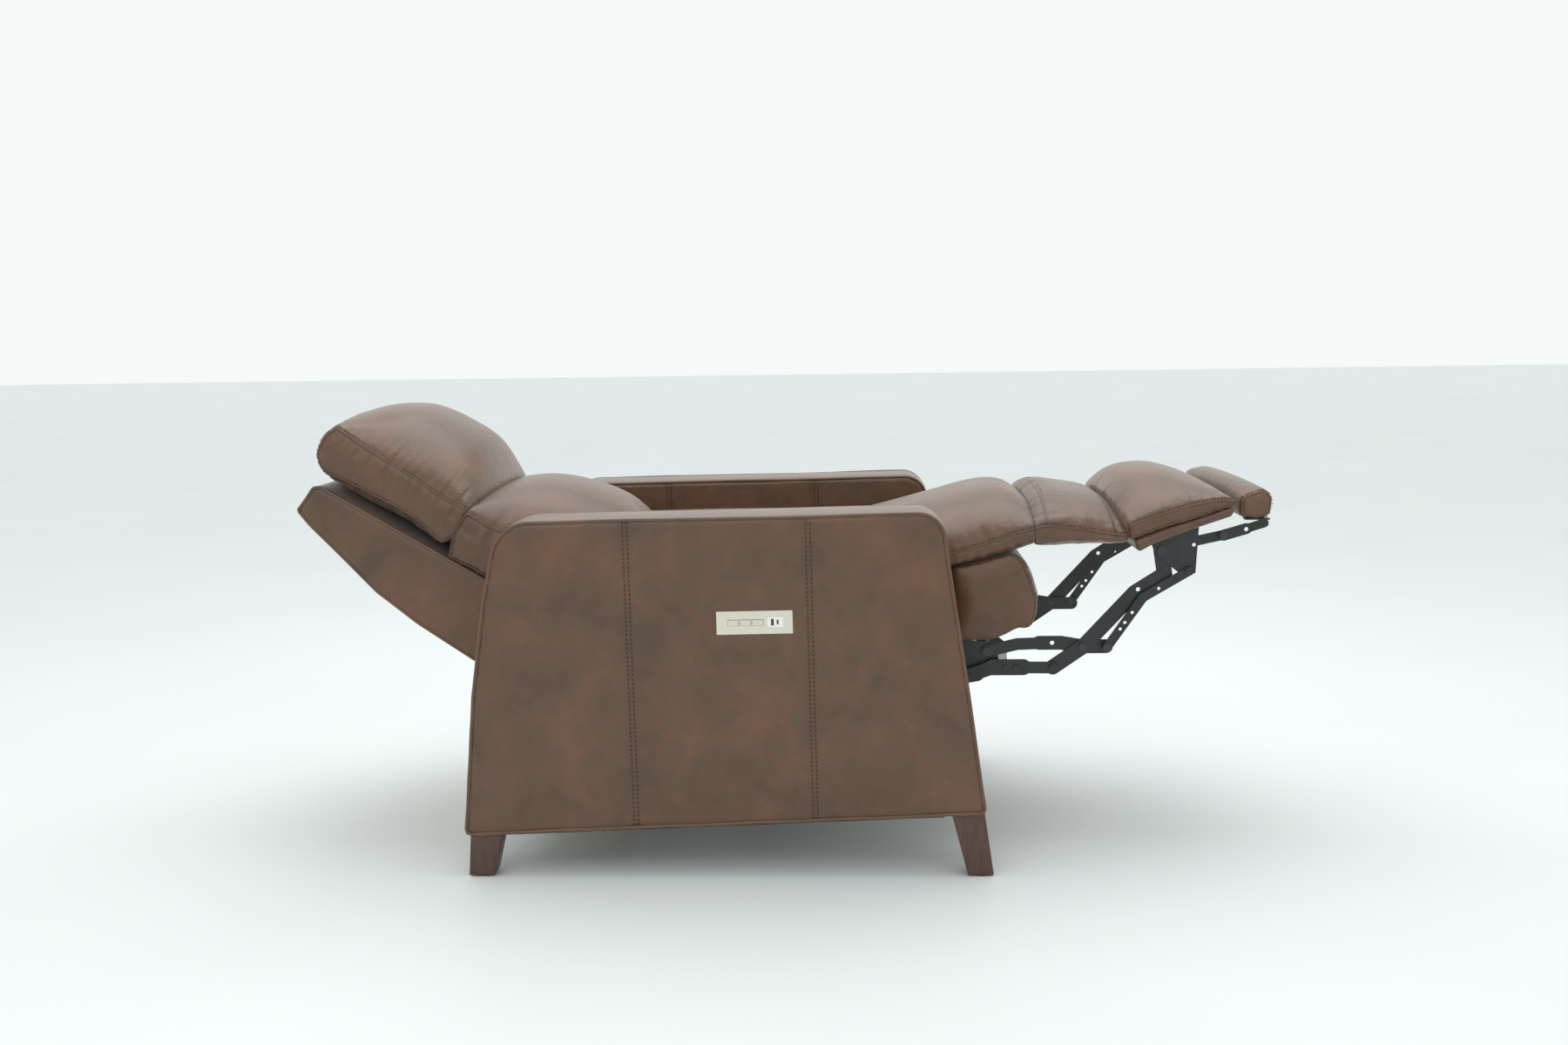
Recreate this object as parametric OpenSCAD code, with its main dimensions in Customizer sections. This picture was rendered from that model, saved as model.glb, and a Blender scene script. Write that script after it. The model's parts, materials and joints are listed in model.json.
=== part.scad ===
// Power recliner armchair with a three-part footrest, a reclining back and a tilting head pillow.
// Drawn fully reclined. Millimetres, +Z up, the front faces -Y, origin on the floor at mid length.
// Side outlines are [forward, up] points, and the chair's right side is at -X.

/* [Overall] */
// Clear width between the arms
seat_w = 560; // [520:5:680]
// Width of one arm
arm_w = 130; // [108:1:160]
// Height of the arm tops above the floor
arm_h = 650; // [630:5:790]
// Length of an arm along its underside
arm_len = 935; // [820:5:1130]

/* [Arms] */
// Forward place of the arms' lower rear corner
arm_rear = -569; // [-620:1:-540]
// Height of the underside at the rear
arm_low_rear = 78; // [70:1:90]
// Height of the underside at the front
arm_low_front = 115; // [100:1:135]
// Padding and cover thickness round the arm frame
arm_pad = 26; // [20:1:34]
// Thickness of the arm frame's boards
arm_board = 36; // [25:1:44]
// Radius of the upper rear corner
arm_rear_r = 62; // [40:1:80]
// Radius of the upper front corner
arm_front_r = 46; // [30:1:60]

/* [Legs] */
// Width of a leg at its top
leg_top = 58; // [45:1:68]
// Width of a leg at the floor
leg_foot = 46; // [35:1:55]
// How far a leg's foot leans out past its top
leg_lean = 16; // [0:1:20]
// Height of a glide under a leg
glide_h = 3; // [2:1:8]

/* [Linkage] */
// Thickness of the steel plates
gauge = 3; // [2.5:0.1:3.6]
// Gap between neighbouring plates
plate_gap = 1; // [0.8:0.1:1.4]
// Distance of the first plate from the arm's inner face
plate_inset = 54; // [50:1:60]
// Radius of the pivot pins
pin_r = 5; // [4:0.1:6]
// Radial clearance of a pin in its hole
pin_play = 0.05; // [0.03:0.01:0.08]
// Width of the main links
link_w = 26; // [22:1:30]
// Width of the narrow link
narrow_w = 17; // [16:1:20]

/* [Motion] */
// Angle that the seat levels out by as the back comes upright
seat_tip = 10; // [8:0.5:11]
// Angle between seat and back taken up as the back comes upright
back_fold = 34; // [28:0.5:36]
// Distance that the seat moves back as the chair comes upright
seat_travel = 170; // [150:5:180]
// Angle that the front flap drops by as the footrest closes
flap_drop = 65.5; // [62:0.5:68]
// Angle that the footrest board turns by as the footrest closes
board_turn = 91.5; // [88:0.5:94]

/* [Cushions] */
// Gap between the cushions and the arms, each side
side_gap = 8; // [6:1:12]
// Gap between the soft pieces that move against each other
soft_gap = 6; // [4:1:9]
// Thickness of the footrest pad
pad_t = 70; // [50:1:76]
// Thickness of the footrest board
board_t = 21; // [17:1:24]
// Length of the extension pad
ext_len = 58; // [50:1:66]

/* [Controls] */
// Length of the control plate
panel_l = 134; // [126:1:150]
// Height of the control plate
panel_h = 41; // [38:1:48]
// Length of a rocker key
rocker_l = 19; // [17:0.5:20]
// Height of a rocker key
rocker_h = 10; // [8:0.5:12]
// Distance between rocker keys
rocker_pitch = 21.5; // [21:0.5:23]
// Gap round a rocker key
rocker_gap = 0.5; // [0.4:0.05:0.6]

/* [Hidden] */
$fn = 48;

// Plane geometry
function heading(v) = atan2(v[1], v[0]);
function unit(v) = v / norm(v);
function turn(v, a) = [v[0] * cos(a) - v[1] * sin(a), v[0] * sin(a) + v[1] * cos(a)];
function about(p, c, a) = c + turn(p - c, a);
// The point nearest to p that is as far from a as from b
function midline(p, a, b) = p - unit(b - a) * ((p - (a + b) / 2) * unit(b - a));
function corner(a, p, b, r, n = 6) =
  r == 0 ? [p] :
  let(
    u = unit(a - p),
    v = unit(b - p),
    half = acos(u * v) / 2,
    c = p + unit(u + v) * (r / sin(half)),
    from = heading(p + u * r / tan(half) - c),
    swing = heading(p + v * r / tan(half) - c) - from,
    arc = swing > 180 ? swing - 360 : swing < -180 ? swing + 360 : swing
  )
  [for (i = [0:n]) c + r * [cos(from + arc * i / n), sin(from + arc * i / n)]];
function rounded(pts, radii) =
  let(n = len(pts))
  [for (i = [0:n - 1]) each corner(pts[(i + n - 1) % n], pts[i], pts[(i + 1) % n], radii[i])];

// Levels across the chair
half_seat = seat_w / 2;
half_w = half_seat + arm_w;
half_pad = half_seat - side_gap;
plate_x = half_seat - plate_inset;
step_x = gauge + plate_gap;
upper_x = plate_x + step_x;
wide_x = plate_x + 2 * step_x;
lower_x = plate_x + 3 * step_x;
narrow_x = plate_x + 4 * step_x;
swing_t = 4;
swing_x = narrow_x + gauge + 5;
rail_x = swing_x + swing_t + 2;
rail_t = half_seat - rail_x;
head_t = 3;
head_r = pin_r + 3;
hole_r = pin_r + pin_play;

// Recline linkage
hip = [-310, 420];
seat_shift = [-seat_travel, 0];
function upright(p) = hip + seat_shift + turn(p - hip, -seat_tip);
function base_pivot(p, drop) =
  let(q = upright(p), side = turn(unit(q - p), 90))
  (p + q) / 2 + (side[1] > 0 ? -side : side) * drop;
rear_top = [-262, 340];
front_top = [150, 400];
rear_foot = base_pivot(rear_top, 282);
front_foot = base_pivot(front_top, 235);

// Footrest linkage
crank_pivot = [380, 373];
knee = [556, 381];
knee_end = [599, 381];
heel = [501, 343];
board_pivot = [697, 562];
flap_hinge = [464, 600];
flap_end = [632, 590];
flap_end_shut = about(flap_end, flap_hinge, -flap_drop);
function board_shut(p) = flap_end_shut + turn(p - flap_end, -board_turn);
function board_open(p) = flap_end + turn(p - flap_end_shut, board_turn);
upper_r = norm(knee - crank_pivot);
wide_r = norm(board_pivot - knee);
reach = board_shut(board_pivot) - crank_pivot;
upper_shut = heading(reach) -
  acos((upper_r * upper_r + reach * reach - wide_r * wide_r) / (2 * upper_r * norm(reach)));
upper_turn = heading(knee - crank_pivot) - upper_shut;
knee_shut = about(knee, crank_pivot, -upper_turn);
knee_end_shut = about(knee_end, crank_pivot, -upper_turn);
wide_turn = heading(board_pivot - knee) - heading(board_shut(board_pivot) - knee_shut);
heel_shut = knee_shut + turn(heel - knee, -wide_turn);
lower_pivot = midline([348, 337], heel, heel_shut);
bracket_pivot = midline([750, 523], knee_end, board_open(knee_end_shut));
board_tilt = 15.5;
ext_pivot = flap_end + turn([169, -49], board_tilt);

// Head pillow
head_pivot = [-600, 590];

// Actuators
crank_len = 60;
nut_throw = 2 * crank_len * sin(upper_turn / 2);
crank_pin = crank_pivot + turn([crank_len, 0], upper_turn / 2 - 90);
back_crank_len = 96;
back_throw = 2 * back_crank_len * sin(back_fold / 2);
back_pin = hip + turn([back_crank_len, 0], -90 + back_fold / 2);
rail_w = 26;
screw_h = 14;
screw_drop = 50;
nut_w = 19;
bracket_w = 30;

// Places the outline of a plate on the left side, from x to x + t
module plate(x, t) {
  translate([x + t, 0, 0])
    rotate([90, 0, -90])
      linear_extrude(t)
        children();
}

// A bar along X through the point p of the side outline
module pin(p, x0, x1, r) {
  translate([x0, -p[0], p[1]])
    rotate([0, 90, 0])
      cylinder(h = x1 - x0, r = r);
}

module right() {
  mirror([1, 0, 0])
    children();
}

module both() {
  children();
  right()
    children();
}

module dot(p, r) {
  translate(p)
    circle(r = r);
}

module strap(a, b, w) {
  far = norm(b - a) + w / 2;
  r = 0.49 * w;
  translate(a)
    rotate(heading(b - a))
      polygon(rounded(
        [[-w / 2, -w / 2], [far, -w / 2], [far, w / 2], [-w / 2, w / 2]], [r, r, r, r]
      ));
}

module slab(pts, radii, half) {
  plate(-half, 2 * half)
    polygon(rounded(pts, radii));
}

// Arms
arm_front = arm_rear + arm_len;
arm_outline = [
  [arm_rear, arm_low_rear], [arm_rear + 22, arm_low_rear + 255],
  [arm_rear + 46, arm_h - 150], [arm_rear + 76, arm_h - 6],
  [arm_front - 76, arm_h + 5], [arm_front - 66, arm_h - 74],
  [arm_front - 29, arm_low_front + 214], [arm_front, arm_low_front]
];
arm_radii = [12, 0, 0, arm_rear_r, arm_front_r, 0, 0, 12];
hollow_outline = [
  [arm_rear + 36, arm_low_rear + 22], [arm_rear + 76, arm_h - 150],
  [arm_rear + 100, arm_h - 32], [arm_front - 108, arm_h - 30],
  [arm_front - 94, arm_h - 90], [arm_front - 36, arm_low_front + 14]
];
arm_in = half_seat + arm_pad;
arm_out = half_w - arm_pad;
arm_mid = (half_seat + half_w) / 2;

// Control plate
panel_rear = -108;
panel_z = 462;
panel_t = 2.5;
panel_face = half_w - 2;
panel_tilt = 0.8;
box_d = 22;
module panel_place() {
  translate([0, -panel_rear, panel_z])
    rotate([-panel_tilt, 0, 0])
      translate([0, 0, -panel_h / 2])
        children();
}
// A block in the plate's frame: from a forward of its rear end, up z, and x deep
module panel_block(a, z, size_a, size_z, x0, x1) {
  translate([-x1, -a - size_a, z])
    cube([x1 - x0, size_a, size_z]);
}

module arm_cover() {
  difference() {
    plate(half_seat, half_w - half_seat)
      polygon(rounded(arm_outline, arm_radii));
    plate(arm_in, arm_out - arm_in)
      polygon(hollow_outline);
  }
}

module right_arm_cover() {
  color("#6e5242")
    difference() {
      right()
        arm_cover();
      panel_place()
        panel_block(0, 0, panel_l, panel_h, panel_face - panel_t, half_w + 1);
      panel_place()
        panel_block(3, 3, panel_l - 6, panel_h - 6, arm_out - 1, half_w);
    }
}

module left_arm_cover() {
  color("#6e5242")
    arm_cover();
}

module arm_frame() {
  difference() {
    plate(arm_mid - arm_board / 2, arm_board)
      polygon(hollow_outline);
    for (bay = [0:3])
      translate([arm_mid - arm_board, -(arm_rear + 110 + bay * 185) - 145, arm_low_front + 60])
        cube([2 * arm_board, 145, arm_h - arm_low_front - 145]);
  }
}

module right_arm_frame() {
  color("#c8a878")
    right()
      arm_frame();
}

module left_arm_frame() {
  color("#c8a878")
    arm_frame();
}

// Underside of an arm at the forward place f
function arm_low(f) = arm_low_rear + (arm_low_front - arm_low_rear) * (f - arm_rear) / arm_len;

module arm_dust_covers() {
  color("#202020")
    both()
      plate(half_seat + 6, half_w - half_seat - 12)
        polygon([
          [arm_rear + 75, arm_low(arm_rear + 75)], [arm_front - 75, arm_low(arm_front - 75)],
          [arm_front - 75, arm_low(arm_front - 75) - 3], [arm_rear + 75, arm_low(arm_rear + 75) - 3]
        ]);
}

leg_front_f = arm_front - 62;
leg_rear_f = arm_rear + 10;
leg_back = leg_lean / 3;
leg_out = half_w - 5;

module front_legs() {
  color("#4a2a24")
    both()
      front_leg();
}

module front_leg() {
  intersection() {
    plate(half_seat, half_w - half_seat)
      polygon([
        [leg_front_f + leg_lean + leg_top - leg_foot, glide_h],
        [leg_front_f + leg_lean + leg_top, glide_h],
        [leg_front_f + leg_top, arm_low(leg_front_f + leg_top)],
        [leg_front_f, arm_low(leg_front_f)]
      ]);
    leg_side(leg_front_f);
  }
}

module rear_leg() {
  intersection() {
    plate(half_seat, half_w - half_seat)
      polygon([
        [leg_rear_f - leg_back, glide_h], [leg_rear_f - leg_back + leg_foot, glide_h],
        [leg_rear_f + leg_top, arm_low(leg_rear_f + leg_top)],
        [leg_rear_f, arm_low(leg_rear_f)]
      ]);
    leg_side(leg_rear_f);
  }
}

// The taper of a leg as seen from the front
module leg_side(f) {
  translate([leg_out, -f + leg_top, 0])
    rotate([90, 0, 0])
      linear_extrude(3 * leg_top)
        polygon([
          [-leg_foot, 0], [0, 0], [0, arm_low_front + 20], [-leg_top, arm_low_front + 20]
        ]);
}

module rear_legs() {
  color("#4a2a24")
    both()
      rear_leg();
}

module leg_glides() {
  color("#303030")
    both() {
      translate([leg_out - leg_foot / 2, -(leg_front_f + leg_lean + leg_top - leg_foot / 2), 0])
        cylinder(h = glide_h, r = leg_foot / 2 - 6);
      translate([leg_out - leg_foot / 2, -(leg_rear_f - leg_back + leg_foot / 2), 0])
        cylinder(h = glide_h, r = leg_foot / 2 - 6);
    }
}

// Steel rails on the arms' inner faces carry the recline pivots
rail_rear = rear_foot[0] - 60;
rail_front = front_foot[0] + 50;
rail_low = 118;
rail_h = 44;
module base_rail() {
  difference() {
    union() {
      plate(rail_x, rail_t)
        polygon([
          [rail_rear, rail_low - 8], [rail_front, rail_low + 8],
          [rail_front, rail_low + rail_h + 8], [rail_rear, rail_low + rail_h - 8]
        ]);
      plate(rail_x, 5)
        strap(rear_foot, [rear_foot[0], rail_low + 20], 34);
    }
    pin(rear_foot, rail_x - 1, half_seat + 1, hole_r - pin_play);
    pin(front_foot, rail_x - 1, half_seat - 6, hole_r - pin_play);
  }
}

module right_base_rail() {
  color("#25292a")
    right()
      base_rail();
}

module left_base_rail() {
  color("#25292a")
    base_rail();
}

tube_r = 12.5;
front_tube = [30, rail_low + 16];
rear_tube = [-250, rail_low + 10];
module cross_tube(p) {
  color("#25292a")
    difference() {
      pin(p, -rail_x, rail_x, tube_r);
      pin(p, -rail_x - 1, rail_x + 1, tube_r - 2);
    }
}

module front_cross_tube() {
  cross_tube(front_tube);
}

module rear_cross_tube() {
  cross_tube(rear_tube);
}

rear_rail_f = arm_rear + 36;
module rear_rail() {
  color("#c8a878")
    translate([-half_seat, -rear_rail_f - 22, arm_low_rear + 16])
      cube([seat_w, 22, 120]);
}

// Shoulder pins fixed in the rails, with a coloured washer behind each link
module base_pivots() {
  color("#c9b43a")
    both()
      for (p = [rear_foot, front_foot]) {
        pin(p, swing_x - head_t, rail_x + 5, pin_r);
        pin(p, swing_x - head_t, swing_x - 0.5, head_r + 2);
      }
}

module control_plate() {
  color("#cfcbc0")
    difference() {
      panel_place()
        panel_block(0, 0, panel_l, panel_h, panel_face - panel_t, panel_face);
      for (i = [0:2])
        panel_place()
          panel_block(
            rocker_start + i * rocker_pitch - rocker_gap, (panel_h - rocker_h) / 2 - rocker_gap,
            rocker_l + 2 * rocker_gap, rocker_h + 2 * rocker_gap, arm_out, half_w
          );
      panel_place()
        panel_block(usb_start, (panel_h - usb_h) / 2, usb_l, usb_h, arm_out, half_w);
    }
}

rocker_start = 20;
rocker_t = 7;
rocker_axis = panel_face - 5;
rocker_pin_r = 1.5;
usb_start = 90;
usb_l = 27;
usb_h = 17;

module rocker(i) {
  a = rocker_start + i * rocker_pitch;
  z = (panel_h - rocker_h) / 2;
  color("#b9b6ae")
    panel_place() {
      panel_block(a, z, rocker_l, rocker_h, half_w - rocker_t, half_w - 0.3);
      translate([-rocker_axis, -a - rocker_l / 2, z - 3])
        cylinder(h = rocker_h + 6, r = rocker_pin_r);
    }
}

module recline_rocker() {
  rocker(0);
}

module footrest_rocker() {
  rocker(1);
}

module headrest_rocker() {
  rocker(2);
}

module control_box() {
  color("#2a2a2c")
    difference() {
      panel_place()
        panel_block(4, 4, panel_l - 8, panel_h - 8, panel_face - panel_t - box_d, panel_face - panel_t);
      for (i = [0:2])
        panel_place() {
          a = rocker_start + i * rocker_pitch;
          panel_block(
            a - 0.9, (panel_h - rocker_h) / 2 - 1, rocker_l + 1.8, rocker_h + 2,
            half_w - rocker_t - 3, half_w
          );
          translate([-rocker_axis, -a - rocker_l / 2, (panel_h - rocker_h) / 2 - 4])
            cylinder(h = rocker_h + 8, r = rocker_pin_r + pin_play);
        }
      panel_place()
        panel_block(usb_start, (panel_h - usb_h) / 2, usb_l, usb_h, panel_face - 16, half_w);
    }
}

module usb_module() {
  color("#e8e8e4")
    difference() {
      panel_place()
        panel_block(usb_start, (panel_h - usb_h) / 2, usb_l, usb_h, panel_face - 16, panel_face + 0.5);
      panel_place()
        panel_block(usb_start + 6, panel_h / 2 - 6.25, 5, 12.5, panel_face - 9, half_w);
      panel_place()
        panel_block(usb_start + 16, panel_h / 2 - 4.4, 3.2, 8.8, panel_face - 9, half_w);
    }
}

module power_inlet() {
  color("#1c1c1e")
    difference() {
      translate([100, -rear_rail_f, arm_low_rear + 52])
        cube([34, 16, 26]);
      translate([117, -rear_rail_f + 6, arm_low_rear + 65])
        rotate([-90, 0, 0])
          cylinder(h = 12, r = 4);
    }
}

// Recline links
module swing_link(foot, top) {
  both()
    difference() {
      plate(swing_x, swing_t)
        strap(foot, top, link_w + 4);
      pin(foot, swing_x - 1, swing_x + swing_t + 1, hole_r);
      pin(top, swing_x - 1, swing_x + swing_t + 1, hole_r);
    }
}

module rear_swing_links() {
  color("#25292a")
    swing_link(rear_foot, rear_top);
}

module front_swing_links() {
  color("#25292a")
    swing_link(front_foot, front_top);
}

// Seat
module seat_plate() {
  difference() {
    plate(plate_x, gauge)
      polygon(rounded(
        [
          [-338, 448], [-340, 400], [-292, 316], [-232, 316], [90, 372], [318, 308],
          [368, 316], [402, 352], [398, 390], [300, 396], [150, 430]
        ],
        [12, 12, 24, 24, 60, 14, 14, 20, 12, 40, 60]
      ));
    for (p = [hip, rear_top, front_top, lower_pivot, crank_pivot])
      pin(p, plate_x - 1, plate_x + gauge + 1, pin_r);
  }
}

module right_seat_plate() {
  color("#25292a")
    right()
      seat_plate();
}

module left_seat_plate() {
  color("#25292a")
    seat_plate();
}

// A square steel tube between the seat plates, centred on p
bar_w = 32;
bar_wall = 3;
module cross_bar(p) {
  h = bar_w / 2;
  k = h - bar_wall;
  difference() {
    slab([p + [-h, -h], p + [h, -h], p + [h, h], p + [-h, h]], [4, 4, 4, 4], plate_x);
    slab([p + [-k, -k], p + [k, -k], p + [k, k], p + [-k, k]], [1, 1, 1, 1], plate_x + 1);
  }
}

// A flat hanger from the height low up to a cross bar's underside
module hanger(x, f, low, high) {
  translate([x - rail_w / 2, -f - 5, low])
    cube([rail_w, 10, high - low]);
}

rear_bar = [-238, 396];
module seat_rear_bar() {
  color("#25292a") {
    cross_bar(rear_bar);
    hanger(
      recline_x, rear_bar[0], recline_rail_z - screw_drop + screw_h, rear_bar[1] - bar_w / 2 + 1
    );
  }
}

drive_bar = [180, 394];
module drive_bar_tube() {
  color("#25292a") {
    cross_bar(drive_bar);
    hanger(0, drive_bar[0], footrest_rail_z - screw_drop + 30, drive_bar[1] - bar_w / 2 + 1);
  }
}

// Zigzag springs run from the rear bar to the front bolster
wire_t = 3;
spring_from = [-214, 414];
spring_to = [306, 486];
module zigzag(from, to, bends, swing) {
  run = norm(to - from) / bends;
  translate([0, -from[0], from[1]])
    rotate([-heading(to - from), 0, 0])
      linear_extrude(wire_t)
        for (i = [0:bends - 1])
          strap(
            [i % 2 == 0 ? swing : -swing, -run * i], [i % 2 == 0 ? -swing : swing, -run * (i + 1)],
            wire_t
          );
}

module seat_springs() {
  color("#8a8d90")
    for (x = [-160, -80, 0, 80, 160])
      translate([x, 0, 0])
        zigzag(spring_from, spring_to, 14, 20);
}

module seat_cushion() {
  color("#6e5242")
    slab(
      [
        [-268, 452], [-262, 482], [-204, 520], [110, 604], [300, 662], [436, 668],
        [458, 646], [458, 592], [300, 574], [200, 534], [30, 500], [-100, 462]
      ],
      [8, 12, 20, 60, 60, 16, 8, 8, 30, 30, 60, 40], half_pad
    );
}

// Front rail of the seat frame under its padded cover
module front_bolster() {
  color("#6e5242")
    slab(
      [
        [312, 412], [314, 530], [424, 562], [452, 540], [466, 478], [468, 438], [461, 421],
        [437, 419], [388, 402], [330, 400]
      ],
      [8, 8, 12, 10, 10, 10, 6, 6, 10, 8], half_pad - 7
    );
}

module seat_pivots() {
  color("#9a9d9f")
    both() {
      rivet(crank_pivot, plate_x, upper_x + gauge);
      rivet(lower_pivot, plate_x, lower_x + gauge);
      rivet(hip, plate_x - step_x, plate_x + gauge);
      pin(rear_top, plate_x, swing_x + swing_t, pin_r);
      pin(rear_top, plate_x + gauge, swing_x - 0.5, head_r);
      pin(front_top, plate_x, swing_x - 1, pin_r);
      pin(front_top, plate_x + gauge, swing_x - 1, head_r);
    }
}

// A pin through the plates from x0 to x1, with a head on the outer end
module rivet(p, x0, x1) {
  pin(p, x0, x1 + 0.5, pin_r);
  pin(p, x1 + 0.5, x1 + 0.5 + head_t, head_r);
}

// Footrest links
upper_rise = [436, 386];
upper_mid = [500, 388];
slot_r = 4;
module upper_links() {
  color("#25292a")
    both()
      difference() {
        plate(upper_x, gauge) {
          strap(crank_pivot, upper_rise, link_w - 4);
          strap(upper_rise, upper_mid, link_w - 4);
          strap(upper_mid - [24, 0], upper_mid + [16, 0], link_w);
          strap(upper_mid + [16, 0], knee, link_w);
          strap(knee, knee_end, link_w);
        }
        for (p = [crank_pivot, knee, knee_end])
          pin(p, upper_x - 1, upper_x + gauge + 1, p == crank_pivot ? hole_r : pin_r);
        pin(upper_mid, upper_x - 1, upper_x + gauge + 1, slot_r);
      }
}

module torque_tube() {
  color("#25292a")
    difference() {
      union() {
        pin(crank_pivot, -plate_x + 2, plate_x - 2, 11);
        for (x = [-14, 10])
          plate(x, 4)
            strap(crank_pivot, crank_pin, 22);
      }
      pin(crank_pin, -20, 20, pin_r);
    }
}

module upper_link_pivots() {
  color("#9a9d9f")
    both() {
      rivet(knee, upper_x, wide_x + gauge);
      pin(knee_end, upper_x, narrow_x + gauge + 0.5, pin_r);
      pin(knee_end, upper_x + gauge, narrow_x - plate_gap, head_r);
      pin(knee_end, narrow_x + gauge + 0.5, narrow_x + gauge + 2.5, head_r);
    }
}

wide_rise = [650, 482];
wide_bend = [704, 516];
module wide_links() {
  color("#25292a")
    both()
      difference() {
        plate(wide_x, gauge) {
          strap(heel, knee, link_w + 2);
          strap(knee, wide_rise, link_w + 2);
          strap(wide_rise, wide_bend, link_w + 2);
          strap(wide_bend, board_pivot, link_w + 2);
        }
        for (p = [heel, knee, board_pivot])
          pin(p, wide_x - 1, wide_x + gauge + 1, p == knee ? hole_r : pin_r);
        pin([656, 488], wide_x - 1, wide_x + gauge + 1, slot_r);
      }
}

module wide_link_pivots() {
  color("#9a9d9f")
    both() {
      rivet(board_pivot, wide_x, lower_x + gauge);
      pin(heel, wide_x, wide_x + gauge + 0.4, pin_r);
    }
}

lower_rise = [390, 344];
module lower_links() {
  color("#25292a")
    both()
      difference() {
        union() {
          plate(lower_x, gauge) {
            strap(lower_pivot, lower_rise, link_w);
            strap(lower_rise, lower_rise + [56, 0], link_w + 4);
            strap(lower_rise, heel, link_w - 4);
          }
          pin(heel, lower_x + gauge, lower_x + gauge + head_t, head_r);
          for (along = [24, 43])
            pin(lower_rise + [along, 0], lower_x + gauge, lower_x + gauge + head_t, 6);
        }
        pin(lower_pivot, lower_x - 1, lower_x + gauge + 1, hole_r);
      }
}

narrow_bend = [664, 474];
small_r = 3;
module narrow_links() {
  color("#25292a")
    both()
      difference() {
        union() {
          plate(narrow_x, gauge) {
            strap(knee_end, narrow_bend, narrow_w);
            strap(narrow_bend, bracket_pivot, narrow_w);
          }
          pin(bracket_pivot, narrow_x + gauge, narrow_x + gauge + head_t, head_r);
        }
        pin(knee_end, narrow_x - 1, narrow_x + gauge + 1, hole_r);
        for (i = [0.37, 0.5, 0.7])
          pin(knee_end + (narrow_bend - knee_end) * i, narrow_x - 1, narrow_x + gauge + 1, small_r);
        pin(
          narrow_bend + (bracket_pivot - narrow_bend) * 0.34, narrow_x - 1, narrow_x + gauge + 1,
          small_r
        );
      }
}

// Footrest board, pad and brackets, laid out along the tilted board
function on_board(a, b) = flap_end + turn([a, b], board_tilt);
bracket_end = 132;

module footrest_brackets() {
  color("#25292a")
    both()
      difference() {
        union() {
          plate(lower_x, gauge)
            polygon([
              board_pivot + [-16, 4], board_pivot + [-6, -14], bracket_pivot + [-6, -13],
              bracket_pivot + [12, -4], on_board(bracket_end, -19), on_board(40, -19)
            ]);
          plate(lower_x, gauge)
            strap(on_board(bracket_end - 14, -46), ext_pivot, 18);
          plate(lower_x - 18, 18 + gauge)
            polygon([
              on_board(40, -22), on_board(bracket_end, -22), on_board(bracket_end, -19),
              on_board(40, -19)
            ]);
        }
        pin(on_board(bracket_end - 18, -52), lower_x - 1, lower_x + gauge + 1, 3.5);
        pin(board_pivot, lower_x - 1, lower_x + gauge + 1, hole_r);
        pin(ext_pivot, lower_x - 1, lower_x + gauge + 1, pin_r);
      }
}

module footrest_board() {
  color("#6e5242")
    slab(
      [on_board(0, -19), on_board(196, -19), on_board(196, -19 + board_t), on_board(0, -19 + board_t)],
      [4, 4, 4, 4], half_pad
    );
}

module footrest_pad() {
  color("#6e5242")
    slab(
      [
        on_board(2, -19 + board_t), on_board(194, -19 + board_t), on_board(194, pad_t - 10),
        on_board(100, pad_t), on_board(2, pad_t - 12)
      ],
      [6, 6, 14, 60, 14], half_pad
    );
}

module footrest_pivots() {
  color("#9a9d9f")
    both()
      rivet(ext_pivot, lower_x, narrow_x + gauge);
}

ext_foot = on_board(205, -27);
module extension_arms() {
  color("#25292a")
    both()
      difference() {
        union() {
          plate(narrow_x, gauge) {
            strap(ext_pivot, ext_foot + [12, -19], 20);
            strap(ext_foot + [12, -19], ext_foot + [44, -9], 16);
          }
          plate(narrow_x - 16, 16 + gauge)
            translate(ext_foot + [10, -3])
              square([44, 3]);
        }
        pin(ext_pivot, narrow_x - 1, narrow_x + gauge + 1, hole_r);
        pin(ext_foot + [12, -20], narrow_x - 1, narrow_x + gauge + 1, slot_r);
      }
}

module extension_pad() {
  color("#6e5242")
    slab(
      [
        ext_foot, ext_foot + [ext_len - 6, 0], ext_foot + [ext_len, 12],
        ext_foot + [ext_len, 38], ext_foot + [ext_len - 12, 58], ext_foot + [16, 60],
        ext_foot + [0, 44]
      ],
      [6, 6, 8, 16, 14, 16, 12], half_pad - 20
    );
}

module chaise_flap() {
  color("#6e5242")
    slab(
      [
        [458 + soft_gap, 592], [606, 582], [618, 600], [610, 636], [520, 664],
        [458 + soft_gap, 656]
      ],
      [6, 8, 6, 14, 40, 16], half_pad
    );
}

// Actuator rails, with the motors at their rear ends
footrest_rail_z = crank_pin[1];
module footrest_screw_rail() {
  color("#8f9496")
    difference() {
      translate([-rail_w / 2, -crank_pin[0] - 20, footrest_rail_z - screw_drop])
        cube([rail_w, 170 + nut_throw, screw_h]);
      translate([-5, -crank_pin[0] - 16, footrest_rail_z - screw_drop + 4])
        cube([10, 162 + nut_throw, screw_h]);
    }
}

module footrest_nut() {
  color("#e6e6e0")
    translate([-nut_w / 2, -crank_pin[0] - 12, footrest_rail_z - screw_drop + screw_h + 0.5])
      cube([nut_w, 24, screw_drop - screw_h - 4]);
}

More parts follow.
